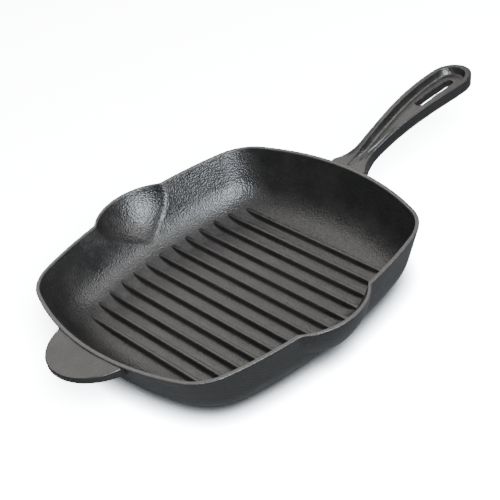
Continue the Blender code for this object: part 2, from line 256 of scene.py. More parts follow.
def surface(name, points, material, cap_start=False, cap_end=False):
    """Closed skin of a grid of points: rows along the first index, each row a closed ring.

    points is (rows, columns, 3). A capped side gets a middle point, the mean of its ring. Points
    that fall together are merged, and the faces are turned so that the enclosed volume is positive.
    """
    rows, columns = points.shape[:2]
    vertices = points.reshape(-1, 3)
    index = np.arange(rows * columns).reshape(rows, columns)
    following = np.roll(index, -1, axis=1)
    quads = np.stack((index[:-1], following[:-1], following[1:], index[1:]), axis=-1).reshape(-1, 4)
    faces = quads.tolist()
    extra = []
    for capped, ring, turned in ((cap_start, 0, True), (cap_end, rows - 1, False)):
        if not capped:
            continue
        middle = len(vertices) + len(extra)
        extra.append(points[ring].mean(axis=0))
        hub = np.full(columns, middle)
        if turned:
            fan = np.stack((following[ring], index[ring], hub), axis=-1)
        else:
            fan = np.stack((index[ring], following[ring], hub), axis=-1)
        faces += fan.tolist()
    if extra:
        vertices = np.concatenate((vertices, np.array(extra)))
    mesh = bpy.data.meshes.new(name)
    mesh.from_pydata(vertices.tolist(), [], faces)
    shape = bmesh.new()
    shape.from_mesh(mesh)
    bmesh.ops.remove_doubles(shape, verts=shape.verts, dist=MERGE_DISTANCE)
    bmesh.ops.dissolve_degenerate(shape, edges=shape.edges, dist=SHORTEST_EDGE)
    if shape.calc_volume(signed=True) < 0.0:
        bmesh.ops.reverse_faces(shape, faces=shape.faces)
    shape.to_mesh(mesh)
    shape.free()
    mesh.shade_smooth()
    mesh.set_sharp_from_angle(angle=SHARP_ANGLE)
    mesh.materials.append(material)
    made = bpy.data.objects.new(name, mesh)
    bpy.context.scene.collection.objects.link(made)
    return made


def quarter_round(distance, radius):
    """Radius minus the height of a circle of that radius: an edge's drop, or a fillet's spread.

    It is the whole radius at distance 0, and 0 from one radius on.
    """
    inside = np.clip(radius - distance, 0.0, radius)
    return radius - np.sqrt(np.maximum(radius ** 2 - inside ** 2, 0.0))


def smooth_step(low, high, value):
    """0 below low, 1 above high, and three t squared minus two t cubed between."""
    t = np.clip((value - low) / (high - low), 0.0, 1.0)
    return t * t * (3.0 - 2.0 * t)


# ---------------------------------------------------------------- bowl

def corner_circle(half_x, half_y, radius):
    """Centre of the circle that touches both the end arc and the side arc from inside.

    It lies where a circle of (end radius - radius) round the end arc's centre crosses a circle of
    (side radius - radius) round the side arc's centre, in the first quadrant.
    """
    end_x = half_x - END_BULGE_RADIUS
    side_y = half_y - SIDE_BULGE_RADIUS
    to_end = END_BULGE_RADIUS - radius
    to_side = SIDE_BULGE_RADIUS - radius
    span = np.hypot(end_x, side_y)
    along = (to_end ** 2 - to_side ** 2 + span ** 2) / (2.0 * span)
    across = np.sqrt(to_end ** 2 - along ** 2)
    step_x = -end_x / span
    step_y = side_y / span
    return end_x + step_x * along - step_y * across, step_y * along + step_x * across


def lip_bulge(x, wall_y, centre_y, foot_y, fade):
    """Wall line with the lip: the higher of the wall and an arc over the lip, blended at the feet.

    The arc spans twice the half width and rises by the reach, both shrunk by fade. The blend is
    the mix of both lines over a short height, plus a small rise in the middle of the mix.
    """
    fade = np.maximum(fade, LEAST_FADE)
    half = LIP_HALF * fade
    rise = LIP_REACH * fade + centre_y - foot_y
    radius = (half ** 2 + rise ** 2) / (2.0 * rise)
    arc_y = foot_y + rise - radius + np.sqrt(np.maximum(radius ** 2 - x ** 2, 0.0))
    blend = LIP_BLEND * fade
    mix = np.clip(0.5 + 0.5 * (arc_y - wall_y) / blend, 0.0, 1.0)
    with_lip = wall_y + (arc_y - wall_y) * mix + blend * mix * (1.0 - mix)
    return np.where((x < radius) & (fade > 2.0 * LEAST_FADE), with_lip, wall_y)


def bowl_rings(inset, thickness, depth, fade):
    """Horizontal outlines of the bowl, one row for each value of the four equally long arrays.

    A quarter is the side arc from x = 0, a corner arc, and the end arc down to y = 0. The other
    quarters mirror it. The side's points crowd towards the lip, by a share of the step cubed.
    """
    inset, thickness, depth, fade = (row[:, None] for row in (inset, thickness, depth, fade))
    half_x = HALF_LENGTH - thickness - inset
    half_y = HALF_WIDTH - thickness - inset
    radius = CORNER_RADIUS - thickness + CORNER_GROWTH * inset
    corner_x, corner_y = corner_circle(half_x, half_y, radius)
    side_y = half_y - SIDE_BULGE_RADIUS
    end_x = half_x - END_BULGE_RADIUS
    touch_x = SIDE_BULGE_RADIUS * np.sin(np.arctan2(corner_x, corner_y - side_y))

    def side_line(x):
        return side_y + np.sqrt(SIDE_BULGE_RADIUS ** 2 - x ** 2)

    share = np.linspace(0.0, 1.0, SIDE_STEPS)[None, :]
    share = (1.0 - SIDE_CROWDING) * share + SIDE_CROWDING * share ** 3
    x = touch_x * share
    y = lip_bulge(x, side_line(x), side_line(0.0), side_line(LIP_HALF * fade), fade)
    side = np.stack((x, y), axis=-1)

    from_side = np.arctan2(corner_y - side_y, corner_x)
    to_end = np.arctan2(corner_y, corner_x - end_x)
    angle = from_side + (to_end - from_side) * np.linspace(0.0, 1.0, CORNER_STEPS)[None, 1:]
    corner = np.stack((corner_x + radius * np.cos(angle), corner_y + radius * np.sin(angle)), axis=-1)

    angle = to_end * (1.0 - np.linspace(0.0, 1.0, END_STEPS)[None, 1:])
    end = np.stack((end_x + END_BULGE_RADIUS * np.cos(angle), END_BULGE_RADIUS * np.sin(angle)), axis=-1)

    quarter = np.concatenate((side, corner, end), axis=1)
    flip_x = np.array((-1.0, 1.0))
    flip_y = np.array((1.0, -1.0))
    ring = np.concatenate((
        quarter,
        (quarter * flip_y)[:, -2::-1],
        (quarter * flip_x * flip_y)[:, 1:],
        (quarter * flip_x)[:, -2:0:-1],
    ), axis=1)
    height = np.broadcast_to(RIM_Z - depth[:, :, None], ring.shape[:2] + (1,))
    return np.concatenate((ring, height), axis=-1)


def wall_fillet(depth, fillet):
    """Where a drafted wall meets the fillet above a floor at depth, and the inset of its centre."""
    tangent_depth = depth - fillet + fillet * math.sin(DRAFT)
    return tangent_depth, tangent_depth * math.tan(DRAFT) + fillet * math.cos(DRAFT)


def wall_profile(depth, fillet, top, wall_steps, fillet_steps):
    """(depth, inset) down a drafted wall from top, then round a circular fillet to a floor."""
    tangent_depth, centre_inset = wall_fillet(depth, fillet)
    down = np.linspace(top, tangent_depth, wall_steps)[:-1]
    angle = np.linspace(DRAFT, math.pi / 2.0, fillet_steps)
    depths = np.concatenate((down, depth - fillet + fillet * np.sin(angle)))
    insets = np.concatenate((down * math.tan(DRAFT), centre_inset - fillet * np.cos(angle)))
    return depths, insets


def lip_fade(depth, lip_depth, power):
    """1 at the rim, 0 at lip_depth and below: one minus (depth / lip_depth) to the power."""
    return np.clip(1.0 - (np.maximum(depth, 0.0) / lip_depth) ** power, 0.0, 1.0)


def rim_profile():
    """(depth, thickness) over the rim: a round on the outer edge, a flat top, a round inside.

    Each round is a circle that touches the level top and the leaning wall.
    """
    outer_angle = np.linspace(-DRAFT, math.pi / 2.0, RIM_OUTER_STEPS)
    r = RIM_OUTER_ROUND
    outer_depth = r - r * np.sin(outer_angle)
    outer_across = r * math.tan(DRAFT) + r / math.cos(DRAFT) - r * np.cos(outer_angle)
    inner_angle = np.linspace(math.pi / 2.0, DRAFT, RIM_INNER_STEPS)
    r = RIM_INNER_ROUND
    inner_depth = r - r * np.sin(inner_angle)
    inner_across = WALL + r * math.tan(DRAFT) - r / math.cos(DRAFT) + r * np.cos(inner_angle)
    depths = np.concatenate((outer_depth, inner_depth))
    across = np.concatenate((outer_across, inner_across))
    return depths, across - depths * math.tan(DRAFT)


def pan_bowl(material):
    """Underside, outer wall, rounded rim, inner wall and cooking floor: one closed surface.

    Both flat faces are filled by smaller and smaller copies of their outline.
    """
    rim_depth, rim_thickness = rim_profile()
    rim_inset = rim_depth * math.tan(DRAFT)
    rim_fade = lip_fade(rim_depth, OUTER_LIP_DEPTH, OUTER_LIP_POWER)
    rim = bowl_rings(rim_inset, rim_thickness, rim_depth, rim_fade)

    depth, inset = wall_profile(RIM_Z, OUTER_FILLET, rim_depth[0], wall_steps=12, fillet_steps=34)
    fade = lip_fade(depth, OUTER_LIP_DEPTH, OUTER_LIP_POWER)
    outside = bowl_rings(inset, np.zeros_like(inset), depth, fade)[:0:-1]

    floor_depth = RIM_Z - FLOOR
    depth, inset = wall_profile(floor_depth, INNER_FILLET, rim_depth[-1], wall_steps=16, fillet_steps=32)
    fade = lip_fade(depth, INNER_LIP_DEPTH, INNER_LIP_POWER)
    inside = bowl_rings(inset, np.full_like(inset, WALL), depth, fade)[1:]

    shrink = np.array(FLAT_RINGS)[:, None, None]
    plan = np.array((1.0, 1.0, 0.0))
    lift = np.array((0.0, 0.0, 1.0))
    underside = outside[:1] * (plan * shrink + lift)
    cooking_floor = inside[-1:] * (plan * shrink[::-1] + lift)
    skin = np.concatenate((underside, outside, rim, inside, cooking_floor))
    return surface("skillet_bowl", skin, material, cap_start=True, cap_end=True)


# ---------------------------------------------------------------- ridges

def cavity_rise(x, y):
    """Height of the bowl's inner surface over its floor at (x, y).

    The inset of the horizontal ring through the point is found by halving: the half width of a
    ring at x falls as its inset grows. The height then follows the wall fillet's circle.
    """
    centre_inset = wall_fillet(RIM_Z - FLOOR, INNER_FILLET)[1]
    low = np.zeros_like(x)
    high = np.full_like(x, centre_inset)
    for _ in range(CAVITY_HALVINGS):
        inset = 0.5 * (low + high)
        half_x = HALF_LENGTH - WALL - inset
        half_y = HALF_WIDTH - WALL - inset
        radius = CORNER_RADIUS - WALL + CORNER_GROWTH * inset
        corner_x, corner_y = corner_circle(half_x, half_y, radius)
        side_y = half_y - SIDE_BULGE_RADIUS
        touch_x = SIDE_BULGE_RADIUS * corner_x / np.hypot(corner_x, corner_y - side_y)
        on_side = side_y + np.sqrt(SIDE_BULGE_RADIUS ** 2 - x ** 2)
        on_corner = corner_y + np.sqrt(np.maximum(radius ** 2 - (np.abs(x) - corner_x) ** 2, 0.0))
        reach = np.where(np.abs(x) <= touch_x, on_side, on_corner)
        outside = reach > np.abs(y)
        low = np.where(outside, inset, low)
        high = np.where(outside, high, inset)
    along = np.clip(centre_inset - 0.5 * (low + high), 0.0, INNER_FILLET * math.cos(DRAFT))
    return INNER_FILLET - np.sqrt(INNER_FILLET ** 2 - along ** 2)


def ridge_section(gap):
    """(across, share) from foot to foot for a ridge that stands gap above its foot, one row per gap.

    Level top, rounded edges, leaning sides and round feet. Share is 0 at the foot and 1 on top. Both
    rounds shrink where the ridge gets low, and the top narrows, so that the ridge ends in a point.
    """
    gap = gap[:, None]
    half = RIDGE_HALF_TOP * np.sqrt(np.clip(gap / RIDGE_TIP, RIDGE_LEAST_TOP, 1.0))
    edge_round = np.minimum(np.minimum(RIDGE_EDGE_ROUND, RIDGE_EDGE_SHARE * gap), RIDGE_TOP_SHARE * half)
    foot_round = np.minimum(RIDGE_FOOT_FILLET, RIDGE_FOOT_SHARE * gap)
    lean = RIDGE_DRAFT
    top = np.zeros_like(gap)
    angle = np.linspace(math.pi / 2.0, lean, RIDGE_EDGE_STEPS)[None, :]
    edge_x = half - edge_round + edge_round * np.cos(angle)
    edge_z = gap - edge_round + edge_round * np.sin(angle)
    touch_x = edge_x[:, -1:]
    touch_z = edge_z[:, -1:]
    low_z = foot_round * (1.0 - math.sin(lean))
    low_x = touch_x + (touch_z - low_z) * math.tan(lean)
    side = np.linspace(0.0, 1.0, RIDGE_SIDE_STEPS)[None, 1:-1]
    side_x = touch_x + (low_x - touch_x) * side
    side_z = touch_z + (low_z - touch_z) * side
    angle = np.linspace(math.pi + lean, 1.5 * math.pi, RIDGE_FOOT_STEPS)[None, :]
    foot_x = low_x + foot_round * (math.cos(lean) + np.cos(angle))
    foot_z = foot_round * (1.0 + np.sin(angle))
    across = np.concatenate((top, edge_x, side_x, foot_x), axis=1)
    share = np.concatenate((gap, edge_z, side_z, foot_z), axis=1) / gap
    return (np.concatenate((-across[:, :0:-1], across), axis=1),
            np.concatenate((share[:, :0:-1], share), axis=1))


def grill_ridge(number, material):
    """A ridge along Y over the bowl's inner surface.

    Its top is level. Its feet follow the cavity, so it stands lower and lower over the wall fillet
    and sinks into it where the cavity has risen by the ridge's height.
    """
    centre = (number - (RIDGE_COUNT + 1) / 2.0) * RIDGE_PITCH
    trial = np.linspace(RIDGE_REACH_FROM, RIDGE_REACH_TO, RIDGE_TRIALS)
    trial_rise = cavity_rise(np.full_like(trial, centre), trial)
    reach = np.interp(RIDGE_HEIGHT + RIDGE_PAST_TIP, trial_rise, trial)
    y = reach * np.sin(np.linspace(-0.5, 0.5, RIDGE_STATIONS) * math.pi)
    middle_rise = cavity_rise(np.full_like(y, centre), y)
    gap = np.maximum(RIDGE_HEIGHT - middle_rise, RIDGE_LEAST_GAP)
    across, share = ridge_section(gap)
    x, y = np.broadcast_arrays(centre + across, y[:, None])
    over = cavity_rise(x, y)
    sunk = np.maximum(middle_rise - RIDGE_HEIGHT, 0.0)[:, None]
    top = FLOOR + over + (np.maximum(RIDGE_HEIGHT, middle_rise[:, None]) - over) * share
    top -= RIDGE_SINK_RATE * sunk + RIDGE_FOOT_SINK * (1.0 - share)
    shell = np.stack((x, y, top), axis=-1)
    below = np.stack((x, y, FLOOR + over - RIDGE_UNDER), axis=-1)[:, (-1, 0)]
    skin = np.concatenate((shell, below), axis=1)
    return surface(f"ridge_{number:02d}", skin, material, cap_start=True, cap_end=True)


# ---------------------------------------------------------------- helper tab

def wall_end_x(y, depth):
    """How far the outer end wall stands from the centre at y and at a depth under the rim."""
    half_x = HALF_LENGTH - depth * math.tan(DRAFT)
    return half_x - END_BULGE_RADIUS + np.sqrt(END_BULGE_RADIUS ** 2 - y ** 2)


def tab_outline_gap(angle):
    """How far the tab's circle at an angle stands outside the end wall, level with the tab's top."""
    return -TAB_CENTRE_X - TAB_RADIUS * np.cos(angle) - wall_end_x(TAB_RADIUS * np.sin(angle), TAB_DROP)


def tab_section():
    """(share, inward, drop, under) round a section: top face, both edge rounds and the lower face.

    Share is 0 in the wall and 1 at the outline. Inward and drop are the way back from the outline and
    down from the face, as shares of the edge round. Under is 1 on the lower half.
    """
    face = np.linspace(0.0, 1.0, TAB_FACE_STEPS)
    over = np.linspace(TAB_FIRST_TURN, 1.0, TAB_ROUND_STEPS) * math.pi / 2.0
    below = np.linspace(0.0, 1.0 - TAB_FIRST_TURN, TAB_ROUND_STEPS) * math.pi / 2.0
    level = np.zeros(TAB_FACE_STEPS)
    share = np.concatenate((face, np.ones(2 * TAB_ROUND_STEPS), face[::-1]))
    inward = np.concatenate((face, 1.0 - np.sin(over), 1.0 - np.cos(below), face[::-1]))
    drop = np.concatenate((level, 1.0 - np.cos(over), np.sin(below) - 1.0, level))
    under = np.repeat((0.0, 1.0), TAB_FACE_STEPS + TAB_ROUND_STEPS)
    return share, inward, drop, under


def helper_tab(material):
    """Half-round plate: each section runs from inside the wall out to the round edge and back.

    The outline is a circle that spreads by a fillet where it nears the wall. The edges are
    quarter rounds, and the underside thickens towards the wall and ends in a fillet.
    """
    trial = np.linspace(math.pi / 2.0, math.pi, TAB_TRIALS)
    first = trial[np.argmax(tab_outline_gap(trial) > TAB_START_GAP)]
    angle = math.pi + (math.pi - first) * np.sin(np.linspace(-0.5, 0.5, TAB_STATIONS) * math.pi)
    spread = TAB_RADIUS + quarter_round(np.maximum(tab_outline_gap(angle), 0.0), TAB_CORNER_FILLET)
    edge_y = spread * np.sin(angle)
    root_x = TAB_SUNK - wall_end_x(edge_y, TAB_DROP)
    edge_x = np.minimum(TAB_CENTRE_X + spread * np.cos(angle), root_x - TAB_LEAST_REACH)

    share, inward, drop, under = tab_section()
    edge_round = np.minimum(TAB_EDGE_ROUND, 0.5 * (root_x - edge_x))[:, None]
    x = root_x[:, None] + (edge_x - root_x)[:, None] * share
    x -= np.cos(angle)[:, None] * edge_round * inward
    y = edge_y[:, None] - np.sin(angle)[:, None] * edge_round * inward

    tip = TAB_CENTRE_X - TAB_RADIUS
    toward = np.clip((x - tip) / (-HALF_LENGTH - tip), 0.0, TAB_THICKEST_SHARE)
    thickness = TAB_TIP_THICKNESS + (TAB_ROOT_THICKNESS - TAB_TIP_THICKNESS) * toward
    under_gap = -x - wall_end_x(y, TAB_DROP + TAB_ROOT_THICKNESS)
    thickness += quarter_round(np.maximum(under_gap, 0.0), TAB_UNDER_FILLET)
    step_gap = -x - wall_end_x(y, TAB_DROP)
    rise = quarter_round(np.maximum(step_gap, 0.0), TAB_STEP_FILLET) * (1.0 - under)
    z = RIM_Z - TAB_DROP + rise - edge_round * drop - under * thickness
    x += (1.0 - share) * under * thickness * math.tan(DRAFT)
    skin = np.stack((x, y, z), axis=-1)
    return surface("helper_tab_skin", skin, material, cap_start=True, cap_end=True)


# ---------------------------------------------------------------- long handle

def bezier(controls, t):
    """Cubic with four control values at t between 0 and 1."""
    a, b, c, d = controls
    s = 1.0 - t
    return a * s ** 3 + 3.0 * b * s ** 2 * t + 3.0 * c * s * t ** 2 + d * t ** 3


def handle_top(x):
    """Height of the borders: level at the rim, a swept rise, and level along the grip."""
    t = np.linspace(0.0, 1.0, RISE_STEPS)
    first_x = HALF_LENGTH + RISE_FIRST_PULL
    second_x = HALF_LENGTH + RISE_SECOND_PULL
    along = bezier((HALF_LENGTH, first_x, second_x, RISE_END_X), t)
    up = bezier((0.0, RISE_FIRST_LIFT, HANDLE_RISE, HANDLE_RISE), t)
    return RIM_Z + np.interp(x, along, up)


def handle_half(x):
    """Half width in plan: a circular flare at the rim, the neck, the grip and a round end.

    From the neck to the grip it grows by the mean of a straight line and a smooth step.
    """
    back = np.clip(NECK_X - x, 0.0, NECK_X - FLARE_START_X)
    flare = FLARE_RADIUS - np.sqrt(FLARE_RADIUS ** 2 - back ** 2)
    t = np.clip((x - NECK_X) / (GRIP_X - NECK_X), 0.0, 1.0)
    eased = 0.5 * t + 0.5 * smooth_step(NECK_X, GRIP_X, x)
    straight = NECK_HALF + flare + (GRIP_HALF - NECK_HALF) * eased
    past = np.maximum(x - END_X, 0.0)
    return np.minimum(straight, np.sqrt(np.maximum(GRIP_HALF ** 2 - past ** 2, 0.0)))


def channel_half(x):
    """Half width of the thumb channel: a narrow pit at the rim that widens, round at the grip's end."""
    begin = np.sqrt(np.clip((x - CHANNEL_START_X) / CHANNEL_PIT, 0.0, 1.0))
    opening = smooth_step(CHANNEL_START_X, CHANNEL_FULL_X, x)
    wide = np.clip(handle_half(np.maximum(x, NECK_X)) - BORDER, 0.0, GRIP_HALF - BORDER)
    past = np.maximum(x - END_X, 0.0)
    end = np.sqrt(np.maximum((GRIP_HALF - BORDER) ** 2 - past ** 2, 0.0))
    narrow = np.minimum(CHANNEL_PIT_HALF, wide)
    return np.minimum((narrow + (wide - narrow) * opening) * begin, end)


def edge_distance(x, y, half, full):
    """Distance in plan from an outline: across the handle, or outwards from the round end."""
    past = np.maximum(x - END_X, 0.0)
    return np.where(past > 0.0, full - np.hypot(past, y), half - np.abs(y))


def slot_distance(x, y):
    """Distance in plan outside the hanging slot's outline, which is a line grown by a radius."""
    nearest = np.clip(x, SLOT_START_X + SLOT_HALF, SLOT_END_X - SLOT_HALF)
    return np.hypot(x - nearest, y) - SLOT_HALF


def handle_stations():
    """Places along X of the handle's sections, close together at the root and round the end."""
    runs = [np.linspace(start, end, count)[:-1] * MM for start, end, count in HANDLE_RUNS]
    turn = np.linspace(0.0, HANDLE_END_ANGLE, HANDLE_END_STEPS)
    return np.concatenate((*runs, END_X + GRIP_HALF * np.sin(turn)))[:, None]


def channel_rows(station, channel, top, lip):
    """(y, z) of the thumb channel, from the middle line out to its edge, which lies a lip lower.

    The bank falls by one minus a power of the share of its width that is left. The floor is shallow
    in the pit at the rim, deepens as the channel opens, and drops by a quarter round at the slot.
    """
    y = channel * np.sin(np.linspace(0.0, 1.0, CHANNEL_STEPS) * math.pi / 2.0)[None, :]
    begin = np.clip((station - CHANNEL_START_X) / CHANNEL_PIT, 0.0, 1.0)
    opening = smooth_step(CHANNEL_START_X, CHANNEL_FULL_X, station)
    depth = CHANNEL_DEPTH * (CHANNEL_PIT_SHARE + (1.0 - CHANNEL_PIT_SHARE) * opening) * begin - lip
    bank = np.minimum(CHANNEL_BANK, BANK_WIDEST_SHARE * channel + LEAST_BANK)
    inward = edge_distance(station, y, channel, GRIP_HALF - BORDER)
    fall = 1.0 - (1.0 - np.clip(inward / bank, 0.0, 1.0)) ** CHANNEL_BANK_POWER
    near_end = np.clip((END_X + GRIP_HALF - BORDER - station) / CHANNEL_END_FADE, 0.0, 1.0)
    z = top - lip - np.maximum(depth, 0.0) * fall * near_end
    z -= quarter_round(np.maximum(slot_distance(station, y), 0.0), SLOT_EDGE_ROUND)
    return y, z


def border_rows(station, half, channel, top, lip, outer_round):
    """(y, z) of the border, from the channel's edge out to the handle's outline.

    Both edges are quarter rounds of their distance in plan. Where the root flares, a shallow valley
    between two crests splits the border.
    """
    border = half - channel
    share = 0.5 - 0.5 * np.cos(np.linspace(0.0, 1.0, BORDER_STEPS)[None, 1:] * math.pi)
    y = channel + border * share
    inner_drop = quarter_round(y - channel, np.minimum(lip, INNER_ROUND_SHARE * border))
    outer_drop = quarter_round(np.maximum(edge_distance(station, y, half, GRIP_HALF), 0.0), outer_round)
    valley = smooth_step(*VALLEY_GROWS_X, station) * (1.0 - smooth_step(*VALLEY_FADES_X, station))
    crest = channel + VALLEY_INNER_CREST
    width = np.maximum(half - VALLEY_OUTER_CREST - crest, VALLEY_LEAST_WIDTH)
    across = np.clip((y - crest) / width, 0.0, 1.0)
    crease = smooth_step(*VALLEY_FALL, across) * (1.0 - smooth_step(*VALLEY_CLIMB, across))
    return y, top - inner_drop - outer_drop - VALLEY_DEPTH * valley * crease


def underside_rows(station, half, top, outer_round):
    """(x, y, z) down the leaning side, round the bottom edge and in to the middle of the underside.

    Each point is pulled in by a share of the half width, and on the round end by the same share
    towards the middle of the end's circle. The underside drops by a fillet at the wall.
    """
    bottom = top - HANDLE_THICKNESS - quarter_round(np.maximum(station - HALF_LENGTH, 0.0), UNDER_FILLET)
    flare = np.maximum(half - NECK_HALF, 0.0) * (1.0 - smooth_step(*FLARE_FADES_X, station))
    lean = HANDLE_LEAN * smooth_step(*LEAN_GROWS_X, station) + flare * (1.0 - FLARE_BOTTOM_SHARE)
    side = np.linspace(0.0, 1.0, HANDLE_SIDE_STEPS)[None, 1:]
    turn = np.linspace(0.0, math.pi / 2.0, HANDLE_EDGE_STEPS)[None, 1:]
    flat = np.linspace(1.0, 0.0, HANDLE_FLAT_STEPS)[None, 1:]
    side_high = top - outer_round
    side_z = side_high + (bottom + HANDLE_UNDER_ROUND - side_high) * side
    edge_z = bottom + HANDLE_UNDER_ROUND * (1.0 - np.sin(turn))
    edge_in = HANDLE_UNDER_ROUND * (1.0 - np.cos(turn))

    full = np.where(station > END_X, GRIP_HALF, half)
    flat_pull = 1.0 - (1.0 - (lean + HANDLE_UNDER_ROUND) / full) * flat
    pull = np.concatenate((lean * side / full, (lean + edge_in) / full, flat_pull), axis=1)
    z = np.concatenate((side_z, edge_z, np.broadcast_to(bottom, flat_pull.shape)), axis=1)
    return station - np.maximum(station - END_X, 0.0) * pull, half * (1.0 - pull), z


def long_handle(material):
    """Loft of closed sections: channel, border, side, rounded bottom edge and underside.

    Near the wall every section is sheared to lie along it, so that the fillets end on the wall, and
    the hidden start sinks under the rim. The left half mirrors the right one.
    """
    station = handle_stations()
    half = handle_half(station)
    channel = np.minimum(channel_half(station), CHANNEL_WIDEST_SHARE * half)
    top = handle_top(station)
    lip = np.minimum(CHANNEL_LIP_ROUND, 0.5 * channel)
    outer_round = np.minimum(HANDLE_EDGE_ROUND, EDGE_ROUND_SHARE * (half - channel) + LEAST_EDGE_ROUND)
    channel_y, channel_z = channel_rows(station, channel, top, lip)
    border_y, border_z = border_rows(station, half, channel, top, lip, outer_round)
    low_x, low_y, low_z = underside_rows(station, half, top, outer_round)
    upper_y = np.concatenate((channel_y, border_y), axis=1)
    x = np.concatenate((np.broadcast_to(station, upper_y.shape), low_x), axis=1)
    y = np.concatenate((upper_y, low_y), axis=1)
    z = np.concatenate((channel_z, border_z, low_z), axis=1)

    hug = 1.0 - smooth_step(HALF_LENGTH, NECK_X, station)
    x = x - hug * (HALF_LENGTH - wall_end_x(np.abs(y), np.maximum(RIM_Z - z, 0.0)))
    buried = np.clip((HALF_LENGTH - station) / BURIED_LENGTH, 0.0, 1.0)
    z = z - BURIED_DROP * buried - ROOT_DROP * (1.0 - smooth_step(*ROOT_DROP_FADES_X, station))

    right = np.stack((x, y, z), axis=-1)
    left = (right * np.array((1.0, -1.0, 1.0)))[:, -2:0:-1]
    skin = np.concatenate((right, left), axis=1)
    handle = surface("long_handle_skin", skin, material, cap_start=True, cap_end=True)
    cut_slot(handle)
    return handle


def cut_slot(handle):
    """Cuts the hanging slot with an upright prism whose outline is a line between two half circles."""
    turn = np.linspace(-0.5, 0.5, SLOT_ROUND_STEPS) * math.pi
    arc_x = SLOT_HALF * np.cos(turn)
    arc_y = SLOT_HALF * np.sin(turn)
    far = np.column_stack((SLOT_END_X - SLOT_HALF + arc_x, arc_y))
    near = np.column_stack((SLOT_START_X + SLOT_HALF - arc_x, -arc_y))
    plan = np.concatenate((far, near))
    levels = (RIM_Z - SLOT_TOOL_BELOW, RIM_Z + SLOT_TOOL_ABOVE)
    rows = np.stack([np.column_stack((plan, np.full(len(plan), level))) for level in levels])
    cutter = surface("slot_tool", rows, handle.data.materials[0], cap_start=True, cap_end=True)
    cut = handle.modifiers.new("slot", "BOOLEAN")
    cut.operation = "DIFFERENCE"
    cut.solver = "EXACT"
    cut.object = cutter
    bpy.context.view_layer.update()
    evaluated = handle.evaluated_get(bpy.context.evaluated_depsgraph_get())
    finished = bpy.data.meshes.new_from_object(evaluated)
    handle.modifiers.clear()
    handle.data = finished
    finished.name = "long_handle_skin"
    finished.shade_smooth()
    finished.set_sharp_from_angle(angle=SHARP_ANGLE)
    bpy.data.objects.remove(cutter)


# ---------------------------------------------------------------- materials

# Sockets of a Mix node that mixes colours
MIX_SHARE = 0
MIX_FIRST = 6
MIX_SECOND = 7
MIX_COLOUR = 2


def new_group(name, inputs, outputs):
    """Empty shader node group, with (name, type) rows for its inputs and its outputs."""
    group = bpy.data.node_groups.new(name, "ShaderNodeTree")
    for label, kind in inputs:
        group.interface.new_socket(name=label, in_out="INPUT", socket_type=kind)
    for label, kind in outputs:
        group.interface.new_socket(name=label, in_out="OUTPUT", socket_type=kind)
    return group


def add(tree, kind, inputs=None, **settings):
    """Adds a node, sets its settings, and links or sets its inputs."""
    node = tree.nodes.new(kind)
    for label, value in settings.items():
        setattr(node, label, value)
    for label, value in (inputs or {}).items():
        socket = node.inputs[label]
        if isinstance(value, bpy.types.NodeSocket):
            tree.links.new(value, socket)
        else:
            socket.default_value = value
    return node


def cast_grain_group():
    """Sand-cast skin: rounded grains with pits between them, over a soft unevenness.

    Height is rounded grain cells plus a warping noise and a broad swell. Grain, which tints the iron,
    is bright on the grains' tops. Patches is a broad mask of thicker and thinner seasoning.
    """
    group = new_group(
        "cast_grain",
        (("Vector", "NodeSocketVector"), ("Grains per metre", "NodeSocketFloat")),
        (("Height", "NodeSocketFloat"), ("Grain", "NodeSocketFloat"), ("Patches", "NodeSocketFloat")),
    )
    start = group.nodes.new("NodeGroupInput")
    end = group.nodes.new("NodeGroupOutput")
    place = start.outputs["Vector"]
    grains = start.outputs["Grains per metre"]
    fine_scale = add(group, "ShaderNodeMath", {0: grains, 1: FINE_RATIO}, operation="MULTIPLY")
    fine = add(group, "ShaderNodeTexNoise",
               {"Vector": place, "Scale": fine_scale.outputs[0], "Detail": 2.0, "Roughness": 0.6})
    warp = add(group, "ShaderNodeTexNoise", {"Vector": place, "Scale": grains, "Detail": 1.0})
    cells = add(group, "ShaderNodeTexVoronoi", {"Vector": place, "Scale": grains, "Randomness": 1.0},
                feature="SMOOTH_F1")
    rounded = add(group, "ShaderNodeMapRange", {"Value": cells.outputs["Distance"], "From Min": 0.0,
                                                "From Max": 0.75, "To Min": 1.0, "To Max": 0.0},
                  interpolation_type="SMOOTHSTEP")
    cell_tops = rounded.outputs["Result"]
    mixed = add(group, "ShaderNodeMath", {0: fine.outputs["Fac"], 1: FINE_SHARE, 2: cell_tops},
                operation="MULTIPLY_ADD")
    grainy = add(group, "ShaderNodeMath", {0: warp.outputs["Fac"], 1: WARP_SHARE, 2: mixed.outputs[0]},
                 operation="MULTIPLY_ADD")
    swell = add(group, "ShaderNodeTexNoise",
                {"Vector": place, "Scale": SWELL_PER_METRE, "Detail": 2.0, "Roughness": 0.5})
    bumpy = add(group, "ShaderNodeMath", {0: warp.outputs["Fac"], 1: WARP_HEIGHT, 2: cell_tops},
                operation="MULTIPLY_ADD")
    height = add(group, "ShaderNodeMath", {0: swell.outputs["Fac"], 1: SWELL_HEIGHT, 2: bumpy.outputs[0]},
                 operation="MULTIPLY_ADD")
    patches = add(group, "ShaderNodeTexNoise",
                  {"Vector": place, "Scale": PATCHES_PER_METRE, "Detail": 4.0, "Roughness": 0.62})
    spread = add(group, "ShaderNodeMapRange",
                 {"Value": patches.outputs["Fac"], "From Min": 0.36, "From Max": 0.64},
                 interpolation_type="SMOOTHSTEP")
    group.links.new(height.outputs[0], end.inputs["Height"])
    group.links.new(grainy.outputs[0], end.inputs["Grain"])
    group.links.new(spread.outputs["Result"], end.inputs["Patches"])
    return group


